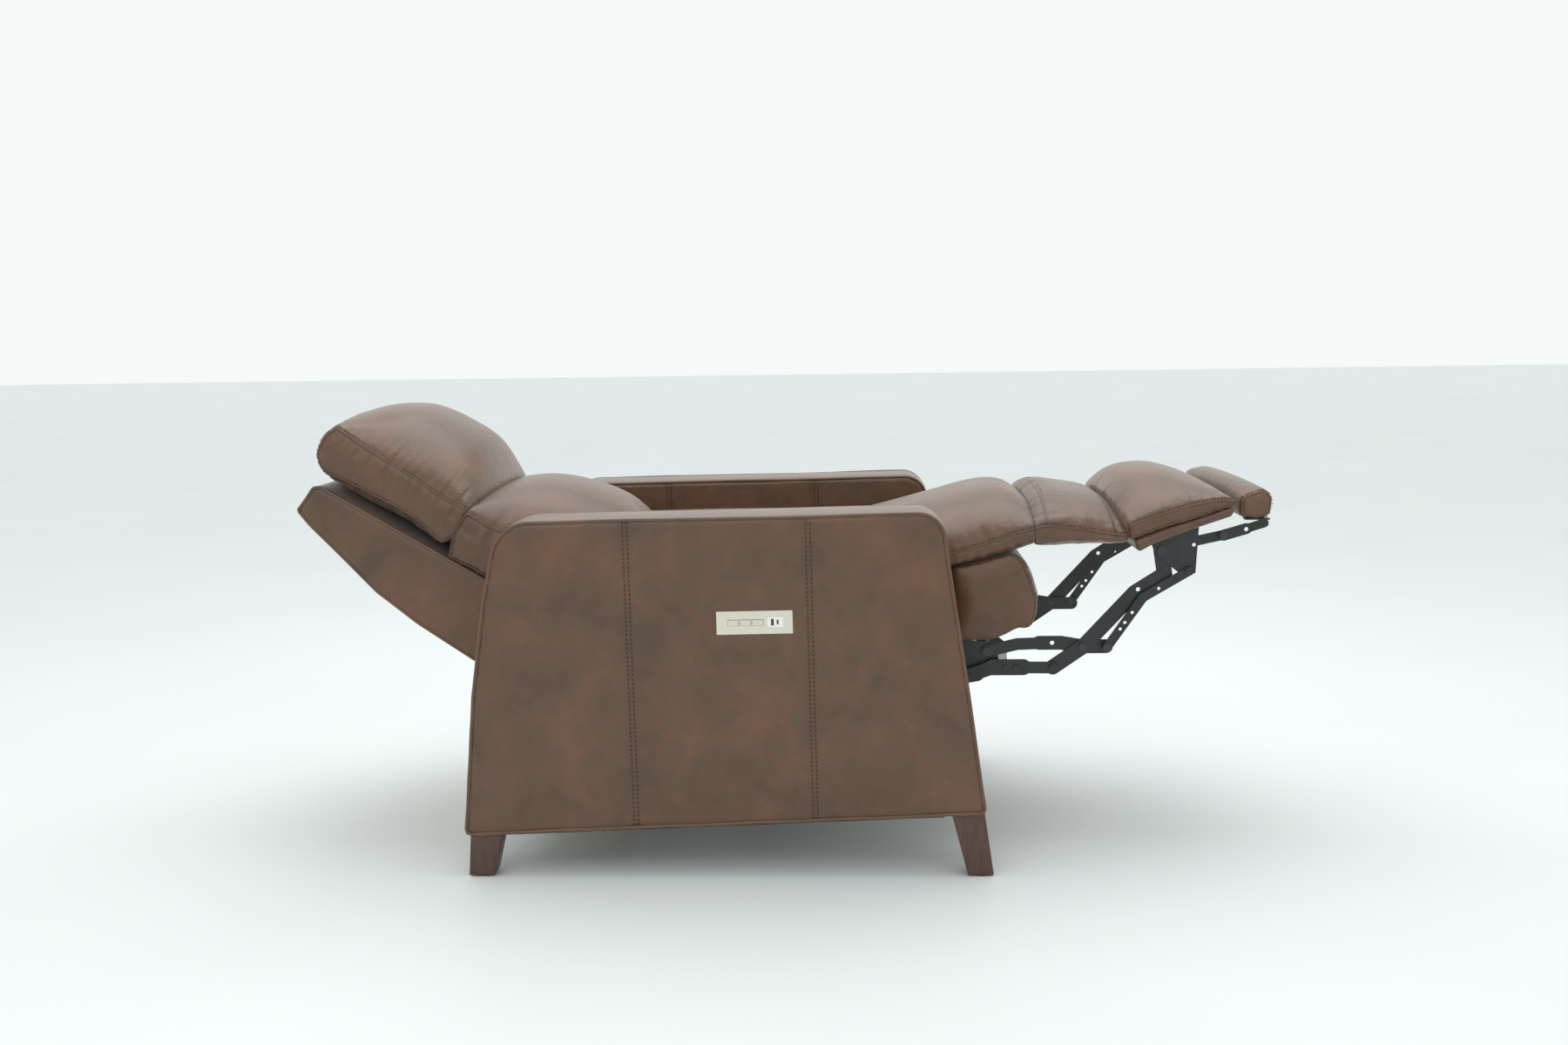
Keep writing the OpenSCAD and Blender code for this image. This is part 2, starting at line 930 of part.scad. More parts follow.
motor_r = 24;
module footrest_motor() {
  color("#1f2022")
    translate([0, -crank_pin[0] + 150 + nut_throw, footrest_rail_z - screw_drop + 4]) {
      translate([-20, 0, -8])
        cube([40, 60, 34]);
      translate([20, 34, 8])
        rotate([0, 90, 0])
          cylinder(h = 80, r = motor_r);
    }
}

recline_x = -110;
crank_tube_r = 8;
recline_rail_z = back_pin[1];
module recline_screw_rail() {
  color("#8f9496")
    difference() {
      translate([recline_x - rail_w / 2, -back_pin[0] - 200, recline_rail_z - screw_drop])
        cube([rail_w, 220 + back_throw, screw_h]);
      translate([recline_x - 5, -back_pin[0] - 196, recline_rail_z - screw_drop + 4])
        cube([10, 212 + back_throw, screw_h]);
    }
}

module recline_nut() {
  color("#e6e6e0")
    translate([recline_x - nut_w / 2, -back_pin[0] - 12, recline_rail_z - screw_drop + screw_h + 0.5])
      cube([nut_w, 24, screw_drop - screw_h - crank_tube_r - 6]);
}

module recline_motor() {
  color("#1f2022")
    translate([recline_x, -back_pin[0] - 260, recline_rail_z - screw_drop + 4]) {
      translate([-20, 0, -8])
        cube([40, 60, 34]);
      translate([-80, 26, 8])
        rotate([0, 90, 0])
          cylinder(h = 60, r = motor_r);
    }
}

// Back, laid out along its front face
back_tilt = 149.6;
function on_back(a, b) = [-555, 526] + turn([a, -b], back_tilt);
back_end = 359;

// The bracket that carries the back on the seat's hip pivots
module bracket_outline(w) {
  strap(hip, on_back(-222, -36), w);
  strap(on_back(-222, -36), on_back(-70, -36), w);
}

module bracket_slots() {
  both()
    plate(plate_x - step_x - 0.5, gauge + 1)
      bracket_outline(bracket_w + 1);
}

module back_frame() {
  color("#c8a878")
    difference() {
      slab(
        [on_back(-190, -22), on_back(300, -22), on_back(300, -50), on_back(-190, -50)],
        [0, 0, 0, 0], half_pad - 14
      );
      slab(
        [on_back(-150, 0), on_back(130, 0), on_back(130, -80), on_back(-150, -80)],
        [0, 0, 0, 0], half_pad - 60
      );
      bracket_slots();
    }
}

module back_cover() {
  color("#6e5242")
    difference() {
      slab(
        [
          on_back(back_end - 6, -4), on_back(-200, 0), on_back(-206, -60), on_back(-120, -128),
          on_back(40, -146), on_back(200, -112), on_back(back_end - 32, -78), on_back(back_end, -62)
        ],
        [8, 8, 20, 80, 120, 120, 20, 6], half_pad
      );
      slab(
        [on_back(-190, -22), on_back(300, -22), on_back(300, -50), on_back(-190, -50)],
        [0, 0, 0, 0], half_pad - 14
      );
      bracket_slots();
    }
}

module back_brackets() {
  color("#25292a")
    difference() {
      union() {
        both()
          plate(plate_x - step_x, gauge) {
            bracket_outline(bracket_w);
            strap(hip, back_pin, 24);
          }
        pin(back_pin, -plate_x + step_x - 1, plate_x - step_x + 1, crank_tube_r);
      }
      both()
        pin(hip, plate_x - step_x - 1, plate_x - plate_gap + 1, hole_r);
    }
}

module back_springs() {
  color("#8a8d90")
    for (x = [-160, -90, 90, 160])
      translate([x, 0, 0])
        zigzag(on_back(120, -34), on_back(-140, -34), 8, 18);
}

module lumbar_cushion() {
  color("#6e5242")
    difference() {
      slab(
        [
          on_back(-196, 2), on_back(54, 2), on_back(52, 60), on_back(32, 124),
          on_back(-32, 190), on_back(-120, 206), on_back(-200, 190), on_back(-214, 96)
        ],
        [10, 10, 20, 30, 50, 60, 40, 30], half_pad
      );
      bracket_slots();
    }
}

module headrest_motor() {
  color("#1f2022")
    slab(
      [on_back(50, -24), on_back(110, -24), on_back(110, -48), on_back(50, -48)],
      [4, 4, 4, 4], 40
    );
}

// Head pillow, laid out along its underside
head_foot = [-628, 602];
head_top = [-844, 724];
head_tilt = heading(head_top - head_foot);
function on_head(a, b) = head_foot + turn([a, -b], head_tilt);
head_board_t = 8;
rest_gap = 0.05;
hinge_x = 150;

module headrest_hinges() {
  color("#25292a")
    both()
      difference() {
        plate(hinge_x, gauge) {
          dot(head_pivot, 12);
          polygon([
            head_pivot + turn([12, 0], back_tilt), head_pivot - turn([12, 0], back_tilt),
            on_back(62, 0), on_back(120, 0)
          ]);
        }
        pin(head_pivot, hinge_x - 1, hinge_x + gauge + 1, hole_r);
      }
}

module headrest_frame() {
  color("#25292a") {
    pin(head_pivot, -hinge_x - gauge - 3, hinge_x + gauge + 3, pin_r);
    slab(
      [
        on_head(14, -head_board_t), on_head(222, -head_board_t), on_head(222, -rest_gap),
        on_head(14, -rest_gap)
      ],
      [2, 2, 0, 0], half_pad - 40
    );
    for (x = [-120, 110])
      plate(x, 10)
        strap(head_pivot, on_head(17, -head_board_t), 6);
  }
}

module headrest_cushion() {
  color("#6e5242")
    slab(
      [
        head_top, head_foot, [-584, 626], [-558, 664], [-610, 762], [-680, 812],
        [-760, 832], [-838, 810]
      ],
      [20, 12, 14, 24, 40, 60, 60, 30], half_pad - 4
    );
}

right_arm_cover();
left_arm_cover();
right_arm_frame();
left_arm_frame();
arm_dust_covers();
front_legs();
rear_legs();
leg_glides();
right_base_rail();
left_base_rail();
front_cross_tube();
rear_cross_tube();
rear_rail();
base_pivots();
control_plate();
control_box();
recline_rocker();
footrest_rocker();
headrest_rocker();
usb_module();
power_inlet();
rear_swing_links();
front_swing_links();
right_seat_plate();
left_seat_plate();
seat_rear_bar();
drive_bar_tube();
seat_springs();
seat_cushion();
front_bolster();
seat_pivots();
footrest_motor();
footrest_screw_rail();
footrest_nut();
recline_motor();
recline_screw_rail();
recline_nut();
chaise_flap();
upper_links();
torque_tube();
upper_link_pivots();
wide_links();
wide_link_pivots();
lower_links();
narrow_links();
footrest_brackets();
footrest_board();
footrest_pad();
footrest_pivots();
extension_arms();
extension_pad();
back_frame();
back_cover();
back_brackets();
back_springs();
lumbar_cushion();
headrest_motor();
headrest_hinges();
headrest_frame();
headrest_cushion();
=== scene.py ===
import json
import math
import random

import bmesh
import bpy
from mathutils import Euler, Matrix, Vector
from mathutils.bvhtree import BVHTree
from mathutils.kdtree import KDTree


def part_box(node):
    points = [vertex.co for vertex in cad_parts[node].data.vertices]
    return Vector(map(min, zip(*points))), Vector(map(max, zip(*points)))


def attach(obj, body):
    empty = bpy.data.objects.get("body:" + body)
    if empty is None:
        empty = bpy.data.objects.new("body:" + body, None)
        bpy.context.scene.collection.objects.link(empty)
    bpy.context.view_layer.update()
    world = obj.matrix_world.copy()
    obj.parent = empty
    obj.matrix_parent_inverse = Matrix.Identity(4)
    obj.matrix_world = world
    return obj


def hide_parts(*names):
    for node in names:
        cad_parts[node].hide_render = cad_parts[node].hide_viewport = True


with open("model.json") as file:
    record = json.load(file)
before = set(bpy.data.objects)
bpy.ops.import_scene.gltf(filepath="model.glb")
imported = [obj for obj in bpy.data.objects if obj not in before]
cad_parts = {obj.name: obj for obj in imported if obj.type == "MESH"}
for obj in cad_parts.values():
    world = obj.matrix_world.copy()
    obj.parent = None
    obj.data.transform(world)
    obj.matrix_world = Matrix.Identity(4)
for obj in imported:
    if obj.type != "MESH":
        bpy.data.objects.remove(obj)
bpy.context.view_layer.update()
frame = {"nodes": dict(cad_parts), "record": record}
random.seed(7)
mm = 0.001
print("frame loaded")


# Small helpers


def hexColor(code):
    # sRGB hex to linear RGBA
    def toLinear(c):
        return c / 12.92 if c <= 0.04045 else ((c + 0.055) / 1.055) ** 2.4

    return (*(toLinear(int(code[i : i + 2], 16) / 255) for i in (1, 3, 5)), 1.0)


def addNode(tree, kind, settings=None, inputs=None, links=None):
    # settings are properties, inputs are constants, links are (socket, source output)
    node = tree.nodes.new(kind)
    for key, value in (settings or {}).items():
        setattr(node, key, value)
    for key, value in (inputs or {}).items():
        node.inputs[key].default_value = value
    for key, source in (links or {}).items():
        tree.links.new(source, node.inputs[key])
    return node


def newMaterial(name):
    material = bpy.data.materials.new(name)
    material.use_nodes = True
    tree = material.node_tree
    return material, tree, tree.nodes["Principled BSDF"]


def ramp(tree, source, stops):
    node = addNode(tree, "ShaderNodeValToRGB", links={"Fac": source})
    while len(node.color_ramp.elements) < len(stops):
        node.color_ramp.elements.new(0.5)
    for element, (place, color) in zip(node.color_ramp.elements, stops):
        element.position = place
        element.color = hexColor(color) if isinstance(color, str) else (color, color, color, 1)
    return node.outputs["Color"]


def noise(tree, place, scaleMm, detail=4.0, rough=0.55, distort=0.0):
    # scaleMm is the size of one blotch
    return addNode(
        tree,
        "ShaderNodeTexNoise",
        inputs={"Scale": 1000 / scaleMm, "Detail": detail, "Roughness": rough, "Distortion": distort},
        links={"Vector": place},
    ).outputs["Fac"]


def mix(tree, factor, a, b, blendType="MIX"):
    node = addNode(tree, "ShaderNodeMix", {"data_type": "RGBA", "blend_type": blendType})
    for socket, value in ((0, factor), (6, a), (7, b)):
        if isinstance(value, (float, tuple)):
            node.inputs[socket].default_value = value
        else:
            tree.links.new(value, node.inputs[socket])
    return node.outputs[2]


def bump(tree, height, strength, distance, below=None):
    links = {"Height": height}
    if below:
        links["Normal"] = below
    return addNode(
        tree, "ShaderNodeBump", inputs={"Strength": strength, "Distance": distance}, links=links
    ).outputs["Normal"]


def objectPlace(tree):
    return addNode(tree, "ShaderNodeTexCoord").outputs["Object"]


# Materials

leatherLook = {
    "base": "#5c3f2a",
    "dark": "#4a3527",
    "warm": "#6c462d",
    "blotchMm": 105.0,  # clouding of the aniline dye
    "mottleMm": 24.0,
    "grainMm": 2.6,  # coarser than the real 1 mm pebble, so that it shows
    "creaseMm": 34.0,
}


def pullUpLeather(name, look, tint="#5a3c26"):
    # Full-grain pull-up leather, drum dyed and waxed: cloudy brown, soft wide highlights
    material, tree, shader = newMaterial(name)
    place = objectPlace(tree)
    blotch = noise(tree, place, look["blotchMm"], 5.0, 0.6, 0.4)
    mottle = noise(tree, place, look["mottleMm"], 6.0, 0.65)
    clouds = ramp(tree, blotch, [(0.32, look["dark"]), (0.5, look["base"]), (0.68, look["warm"])])
    speck = ramp(tree, mottle, [(0.3, "#a4a4a4"), (0.7, "#cccccc")])
    tone = mix(tree, 0.5, clouds, speck, "SOFT_LIGHT")
    color = mix(tree, 0.25, tone, hexColor(tint))
    tree.links.new(color, shader.inputs["Base Color"])
    rough = addNode(
        tree, "ShaderNodeMapRange", inputs={"To Min": 0.31, "To Max": 0.44}, links={"Value": mottle}
    )
    tree.links.new(rough.outputs["Result"], shader.inputs["Roughness"])
    shader.inputs["IOR"].default_value = 1.48
    shader.inputs["Specular IOR Level"].default_value = 0.65
    shader.inputs["Sheen Weight"].default_value = 0.3
    shader.inputs["Sheen Roughness"].default_value = 0.45
    shader.inputs["Sheen Tint"].default_value = hexColor("#d8d4cf")
    cells = addNode(
        tree, "ShaderNodeTexVoronoi", inputs={"Scale": 1000 / look["grainMm"]}, links={"Vector": place}
    ).outputs["Distance"]
    crease = noise(tree, place, look["creaseMm"], 3.0, 0.5, 1.2)
    normal = bump(tree, crease, 0.25, 0.004)
    normal = bump(tree, cells, 0.14, 0.0008, normal)
    tree.links.new(normal, shader.inputs["Normal"])
    return material


def stainedWood(name, light, dark):
    # Close-grained hardwood, stained and lacquered: faint lengthwise streaks under a satin coat
    material, tree, shader = newMaterial(name)
    place = objectPlace(tree)
    stretched = addNode(
        tree, "ShaderNodeMapping", inputs={"Scale": (1.0, 1.0, 0.08)}, links={"Vector": place}
    ).outputs["Vector"]
    grain = noise(tree, stretched, 5.0, 8.0, 0.6, 0.6)
    color = ramp(tree, grain, [(0.3, dark), (0.7, light)])
    tree.links.new(color, shader.inputs["Base Color"])
    shader.inputs["Roughness"].default_value = 0.42
    shader.inputs["Coat Weight"].default_value = 0.25
    shader.inputs["Coat Roughness"].default_value = 0.3
    tree.links.new(bump(tree, grain, 0.1, 0.0005), shader.inputs["Normal"])
    return material


def plywood(name):
    # Bare birch plywood: pale with broad soft figure
    material, tree, shader = newMaterial(name)
    grain = noise(tree, objectPlace(tree), 40.0, 8.0, 0.6, 2.0)
    tree.links.new(ramp(tree, grain, [(0.3, "#b8996b"), (0.7, "#d3b88c")]), shader.inputs["Base Color"])
    shader.inputs["Roughness"].default_value = 0.7
    return material


def coatedSteel(name, color, roughness, peelMm=3.0):
    # Pressed steel plate with black powder coat: fine orange peel, satin
    material, tree, shader = newMaterial(name)
    place = objectPlace(tree)
    peel = noise(tree, place, peelMm, 2.0, 0.5)
    dust = noise(tree, place, 60.0, 6.0, 0.7)
    tone = ramp(tree, dust, [(0.35, color), (0.75, "#24272a")])
    tree.links.new(tone, shader.inputs["Base Color"])
    shader.inputs["Metallic"].default_value = 0.0
    shader.inputs["Roughness"].default_value = roughness
    shader.inputs["Specular IOR Level"].default_value = 0.6
    tree.links.new(bump(tree, peel, 0.15, 0.0006), shader.inputs["Normal"])
    return material


def bareMetal(name, color, roughness, streakMm=1.5, lengthwise=(1.0, 0.05, 1.0)):
    # Bare or anodised metal with fine drawn lines along one way
    material, tree, shader = newMaterial(name)
    place = addNode(
        tree, "ShaderNodeMapping", inputs={"Scale": lengthwise}, links={"Vector": objectPlace(tree)}
    ).outputs["Vector"]
    streak = noise(tree, place, streakMm, 3.0, 0.5)
    shader.inputs["Base Color"].default_value = hexColor(color)
    shader.inputs["Metallic"].default_value = 1.0
    rough = addNode(
        tree,
        "ShaderNodeMapRange",
        inputs={"To Min": roughness - 0.05, "To Max": roughness + 0.06},
        links={"Value": streak},
    )
    tree.links.new(rough.outputs["Result"], shader.inputs["Roughness"])
    tree.links.new(bump(tree, streak, 0.05, 0.0003), shader.inputs["Normal"])
    return material


def mouldedPlastic(name, color, roughness, sparkMm=1.2, strength=0.08):
    # Injection-moulded plastic with a fine spark-eroded texture
    material, tree, shader = newMaterial(name)
    place = objectPlace(tree)
    spark = noise(tree, place, sparkMm, 2.0, 0.6)
    shade = noise(tree, place, 30.0, 3.0, 0.5)
    tone = mix(tree, 0.06, hexColor(color), ramp(tree, shade, [(0.3, 0.2), (0.7, 0.9)]), "SOFT_LIGHT")
    tree.links.new(tone, shader.inputs["Base Color"])
    shader.inputs["Roughness"].default_value = roughness
    tree.links.new(bump(tree, spark, strength, 0.0003), shader.inputs["Normal"])
    return material


def spunCloth(name, color):
    # Spun-bonded dust cloth: matt black fibres
    material, tree, shader = newMaterial(name)
    fibre = noise(tree, objectPlace(tree), 2.0, 6.0, 0.8, 1.0)
    tree.links.new(ramp(tree, fibre, [(0.3, color), (0.8, "#2c2c2d")]), shader.inputs["Base Color"])
    shader.inputs["Roughness"].default_value = 0.95
    tree.links.new(bump(tree, fibre, 0.3, 0.0006), shader.inputs["Normal"])
    return material


finishes = {
    "leather": pullUpLeather("pullUpLeather", leatherLook),
    "timber": plywood("birchPlywood"),
    "leg_wood": stainedWood("stainedBeech", "#59392e", "#3a221a"),
    "steel": coatedSteel("blackPowderCoat", "#0f1112", 0.4),
    "zinc": coatedSteel("blackZincPlate", "#2c2f31", 0.26, 1.5),
    "washer": mouldedPlastic("yellowNylon", "#b9a63c", 0.45),
    "panel": bareMetal("champagneAnodised", "#ddd8ca", 0.4),
    "key": mouldedPlastic("satinKeyPlastic", "#d2cdc0", 0.35),
    "usb_white": mouldedPlastic("whiteGlossPlastic", "#eceae4", 0.2, 1.0, 0.03),
    "black_plastic": mouldedPlastic("blackTexturedNylon", "#1a1b1d", 0.55),
    "dust_cloth": spunCloth("blackDustCloth", "#141415"),
    "nylon": mouldedPlastic("naturalNylon", "#dcdad0", 0.5),
    "spring_steel": bareMetal("drawnSpringSteel", "#8d9194", 0.35),
}
thread = mouldedPlastic("waxedThread", "#2e1d14", 0.7, 0.8, 0.3)
slotOf = {row["node"]: row["material_slot"] for row in frame["record"]["subparts"]}
for nodeName, nodeObject in frame["nodes"].items():
    nodeObject.data.materials.clear()
    nodeObject.data.materials.append(finishes[slotOf[nodeName]])
print("materials made")


# Mesh helpers
# Side outlines are (forward, up) points in mm; forward is -Y


def toPoint(x, forward, up):
    return Vector((x * mm, -forward * mm, up * mm))


def newObject(name, bm, material):
    mesh = bpy.data.meshes.new(name)
    bm.to_mesh(mesh)
    bm.free()
    piece = bpy.data.objects.new(name, mesh)
    bpy.context.scene.collection.objects.link(piece)
    mesh.materials.append(material)
    return piece


def smoothShade(piece, angle=None):
    for polygon in piece.data.polygons:
        polygon.use_smooth = True
    if angle:
        piece.data.set_sharp_from_angle(angle=math.radians(angle))


def applyModifiers(piece):
    depsgraph = bpy.context.evaluated_depsgraph_get()
    depsgraph.update()
    mesh = bpy.data.meshes.new_from_object(piece.evaluated_get(depsgraph))
    old = piece.data
    piece.modifiers.clear()
    piece.data = mesh
    bpy.data.meshes.remove(old)


def addModifier(piece, kind, **settings):
    modifier = piece.modifiers.new(kind.title(), kind)
    for key, value in settings.items():
        setattr(modifier, key, value)
    return modifier


def splineLoop(points, perSpan, sharp=()):
    # A closed Catmull-Rom run through the points; sharp ones keep their corner
    count = len(points)
    vectors = [Vector(p) for p in points]
    loop = []
    for i in range(count):
        p0, p1, p2, p3 = (vectors[(i + k - 1) % count] for k in range(4))
        out = (p2 - p1) * 0.5 if i in sharp else (p2 - p0) * 0.5
        back = (p2 - p1) * 0.5 if (i + 1) % count in sharp else (p3 - p1) * 0.5
        limit = (p2 - p1).length
        out = out.normalized() * min(out.length, limit)
        back = back.normalized() * min(back.length, limit)
        for k in range(perSpan):
            t = k / perSpan
            a = 2 * t**3 - 3 * t**2 + 1
            b = t**3 - 2 * t**2 + t
            c = -2 * t**3 + 3 * t**2
            d = t**3 - t**2
            loop.append(p1 * a + out * b + p2 * c + back * d)
    return loop


def loftAcross(name, side, middle, half, steps, power, material):
    # The side outline is extruded across the seat, and each ring swells towards the middle one
    bm = bmesh.new()
    spot = bm.verts.layers.int.new("spot")
    for index, p in enumerate(side):
        bm.verts.new(toPoint(-half, p.x, p.y))[spot] = index
    face = bm.faces.new(bm.verts)
    for step in range(1, steps + 1):
        u = -math.cos(math.pi * step / steps)
        swell = (1 - abs(u) ** power) ** 0.8 if abs(u) < 1 else 0.0
        grown = bmesh.ops.extrude_face_region(bm, geom=[face])["geom"]
        face = next(g for g in grown if isinstance(g, bmesh.types.BMFace))
        for v in face.verts:
            p = side[v[spot]].lerp(middle[v[spot]], swell)
            v.co = toPoint(u * half, p.x, p.y)
    bmesh.ops.recalc_face_normals(bm, faces=bm.faces)
    return newObject(name, bm, material)


def remeshed(piece, voxelMm):
    addModifier(piece, "REMESH", mode="VOXEL", voxel_size=voxelMm * mm, use_smooth_shade=True)
    applyModifiers(piece)


def puffUp(piece, pressure, capMm, share, frames=20, stiffness=12.0):
    # Pressure fills the cover; a share of the movement is kept, and never more than the cap
    start = [v.co.copy() for v in piece.data.vertices]
    cloth = piece.modifiers.new("Cloth", "CLOTH")
    cloth.settings.quality = 4
    cloth.settings.mass = 0.4
    cloth.settings.tension_stiffness = stiffness
    cloth.settings.compression_stiffness = stiffness
    cloth.settings.shear_stiffness = stiffness * 0.6
    cloth.settings.bending_stiffness = 0.6
    cloth.settings.use_pressure = True
    cloth.settings.uniform_pressure_force = pressure
    cloth.settings.effector_weights.gravity = 0
    cloth.collision_settings.use_collision = False
    cloth.point_cache.frame_start = 1
    cloth.point_cache.frame_end = frames
    for number in range(1, frames + 1):
        bpy.context.scene.frame_set(number)
    applyModifiers(piece)
    for v, was in zip(piece.data.vertices, start):
        moved = (v.co - was) * share
        if moved.length > capMm * mm:
            moved *= capMm * mm / moved.length
        v.co = was + moved
    bpy.context.scene.frame_set(1)


def softened(piece, factor, repeat):
    bm = bmesh.new()
    bm.from_mesh(piece.data)
    for _ in range(repeat):
        bmesh.ops.smooth_vert(
            bm, verts=bm.verts, factor=factor, use_axis_x=True, use_axis_y=True, use_axis_z=True
        )
    bm.to_mesh(piece.data)
    bm.free()


def subdivided(piece, levels=1):
    addModifier(piece, "SUBSURF", levels=levels, render_levels=levels)
    applyModifiers(piece)


def treeOf(piece):
    return BVHTree.FromPolygons(
        [v.co for v in piece.data.vertices], [tuple(f.vertices) for f in piece.data.polygons]
    )


def evenly(path, stepMm, closed=False):
    # Points a step apart along a run of points
    points = [Vector(p) for p in path] + ([Vector(path[0])] if closed else [])
    lengths = [(b - a).length for a, b in zip(points, points[1:])]
    total = sum(lengths)
    count = max(2, round(total / (stepMm * mm)))
    out = []
    span, done = 0, 0.0
    for k in range(count if closed else count + 1):
        target = total * k / count
        while span < len(lengths) - 1 and done + lengths[span] < target:
            done += lengths[span]
            span += 1
        t = (target - done) / max(lengths[span], 1e-9)
        out.append(points[span].lerp(points[span + 1], min(t, 1.0)))
    return out


def onSurface(tree, path, stepMm, closed=False):
    # The path laid on the skin, with the skin's outward direction at each point
    laid = []
    for p in evenly(path, stepMm, closed):
        place, normal, _, _ = tree.find_nearest(p)
        laid.append((place, normal))
    return laid


def pipingLine(tree, path, stepMm, liftMm=0.4):
    # The path is moved in to the skin, and the moves are averaged so that the line stays fair
    even = evenly(path, stepMm, True)
    moves = []
    for p in even:
        spot, normal, _, _ = tree.find_nearest(p)
        moves.append(spot + normal * liftMm * mm - p)
    count, reach = len(even), 6
    return [
        p + sum((moves[(i + k) % count] for k in range(-reach, reach + 1)), Vector()) / (2 * reach + 1)
        for i, p in enumerate(even)
    ]


def pressSeam(piece, laid, depthMm, widthMm):
    # A sewn line pulls the leather in
    tree = KDTree(len(laid))
    for index, (place, _) in enumerate(laid):
        tree.insert(place, index)
    tree.balance()
    normals = [v.normal.copy() for v in piece.data.vertices]
    reach = widthMm * mm
    for v, normal in zip(piece.data.vertices, normals):
        _, _, distance = tree.find(v.co)
        if distance < 3 * reach:
            v.co -= normal * depthMm * mm * math.exp(-((distance / reach) ** 2))


folds = {"count": 7, "shortest": 14, "longest": 60, "fullAway": 14, "reach": 90}  # mm


def gathers(piece, laid, heightMm, seed):
    # Small folds run out from a seam and fade away from it
    waves = random.Random(seed)
    rows = [
        (waves.uniform(folds["shortest"], folds["longest"]), waves.uniform(0, 6.3), waves.uniform(0.5, 1.0))
        for _ in range(folds["count"])
    ]
    tree = KDTree(len(laid))
    run, runs = 0.0, []
    for index, (place, _) in enumerate(laid):
        run += (place - laid[index - 1][0]).length / mm if index else 0.0
        runs.append(run)
        tree.insert(place, index)
    tree.balance()
    normals = [v.normal.copy() for v in piece.data.vertices]
    for v, normal in zip(piece.data.vertices, normals):
        _, index, distance = tree.find(v.co)
        away = distance / mm
        if away < folds["reach"]:
            wave = sum(a * math.sin(6.283 * runs[index] / length + phase) for length, phase, a in rows)
            fade = away / folds["fullAway"] * math.exp(1 - away / folds["fullAway"])
            v.co += normal * heightMm * mm * wave / 3 * fade


def acrossTop(tree, forward, half):
    # A line across the top, found by looking down on the skin
    points = []
    for k in range(81):
        x = half * (k / 40 - 1)
        hit = tree.ray_cast(toPoint(x, forward, 1200), Vector((0, 0, -1)))
        if hit[0]:
            points.append(hit[0])
    return points


def tube(name, points, radiusMm, material, closed=False, sides=3):
    curve = bpy.data.curves.new(name, "CURVE")
    curve.dimensions = "3D"
    curve.bevel_depth = radiusMm * mm
    curve.bevel_resolution = sides
    curve.use_fill_caps = True
    spline = curve.splines.new("POLY")
    spline.points.add(len(points) - 1)
    for target, p in zip(spline.points, points):
        target.co = (*p, 1)
    spline.use_cyclic_u = closed
    holder = bpy.data.objects.new(name + "Line", curve)
    bpy.context.scene.collection.objects.link(holder)
    bpy.context.view_layer.update()
    mesh = bpy.data.meshes.new_from_object(holder)
    bpy.data.objects.remove(holder)
    piece = bpy.data.objects.new(name, mesh)
    bpy.context.scene.collection.objects.link(piece)
    mesh.materials.clear()
    mesh.materials.append(material)
    smoothShade(piece)
    return piece


def stitches(name, laid, pitchMm, lengthMm, radiusMm, sideMm):
    # Short rounded threads lying along a seam
    bm = bmesh.new()
    run = 0.0
    for (a, na), (b, _) in zip(laid, laid[1:]):
        run += (b - a).length
        if run < pitchMm * mm:
            continue
        run = 0.0
        along = (b - a).normalized()
        out = na.normalized()
        across = along.cross(out)
        turn = Matrix((across, out, along)).transposed().to_4x4()
        centre = a + across * sideMm * mm + out * radiusMm * 0.35 * mm
        bmesh.ops.create_cone(
            bm,
            cap_ends=True,
            segments=6,
            radius1=radiusMm * mm,
            radius2=radiusMm * mm,
            depth=lengthMm * mm,
            matrix=Matrix.Translation(centre) @ turn,
        )
    return newObject(name, bm, thread)


def place(piece, body, slot, *nodes):
    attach(piece, body)
    if nodes:
        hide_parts(*nodes)
    return piece


def lowHigh(node):
    # A node's box in mm, as (x, forward, up) low and high
    low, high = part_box(node)
    return (
        (low.x / mm, -high.y / mm, low.z / mm),
        (high.x / mm, -low.y / mm, high.z / mm),
    )


# Camera, floor and light

camera = {"x": -3140.0, "forward": 130.0, "up": 975.6, "turn": (82.987, 0.837, -87.658), "lens": 36.4}
cameraData = bpy.data.cameras.new("camera")
cameraData.lens = camera["lens"]
cameraData.sensor_width = 36.0
cameraObject = bpy.data.objects.new("camera", cameraData)
cameraObject.location = toPoint(camera["x"], camera["forward"], camera["up"])
cameraObject.rotation_euler = Euler([math.radians(a) for a in camera["turn"]])
bpy.context.scene.collection.objects.link(cameraObject)
bpy.context.scene.camera = cameraObject

studio = {"floor": "#e5eaea", "air": "#f8fcfb", "airStrength": 0.98, "roomMm": 30000.0}
floorMaterial, floorTree, floorShader = newMaterial("paintedStudioFloor")
floorShade = noise(floorTree, objectPlace(floorTree), 900.0, 2.0)
floorTree.links.new(
    ramp(floorTree, floorShade, [(0.3, studio["floor"]), (0.7, "#e8eded")]),
    floorShader.inputs["Base Color"],
)
floorShader.inputs["Roughness"].default_value = 0.55
bm = bmesh.new()
bmesh.ops.create_grid(bm, x_segments=4, y_segments=4, size=studio["roomMm"] * mm)
floor = newObject("studioFloor", bm, floorMaterial)

bpy.context.scene.view_settings.view_transform = "Standard"
world = bpy.data.worlds.new("studioAir")
bpy.context.scene.world = world
world.use_nodes = True
world.node_tree.nodes["Background"].inputs["Color"].default_value = hexColor(studio["air"])
world.node_tree.nodes["Background"].inputs["Strength"].default_value = studio["airStrength"]


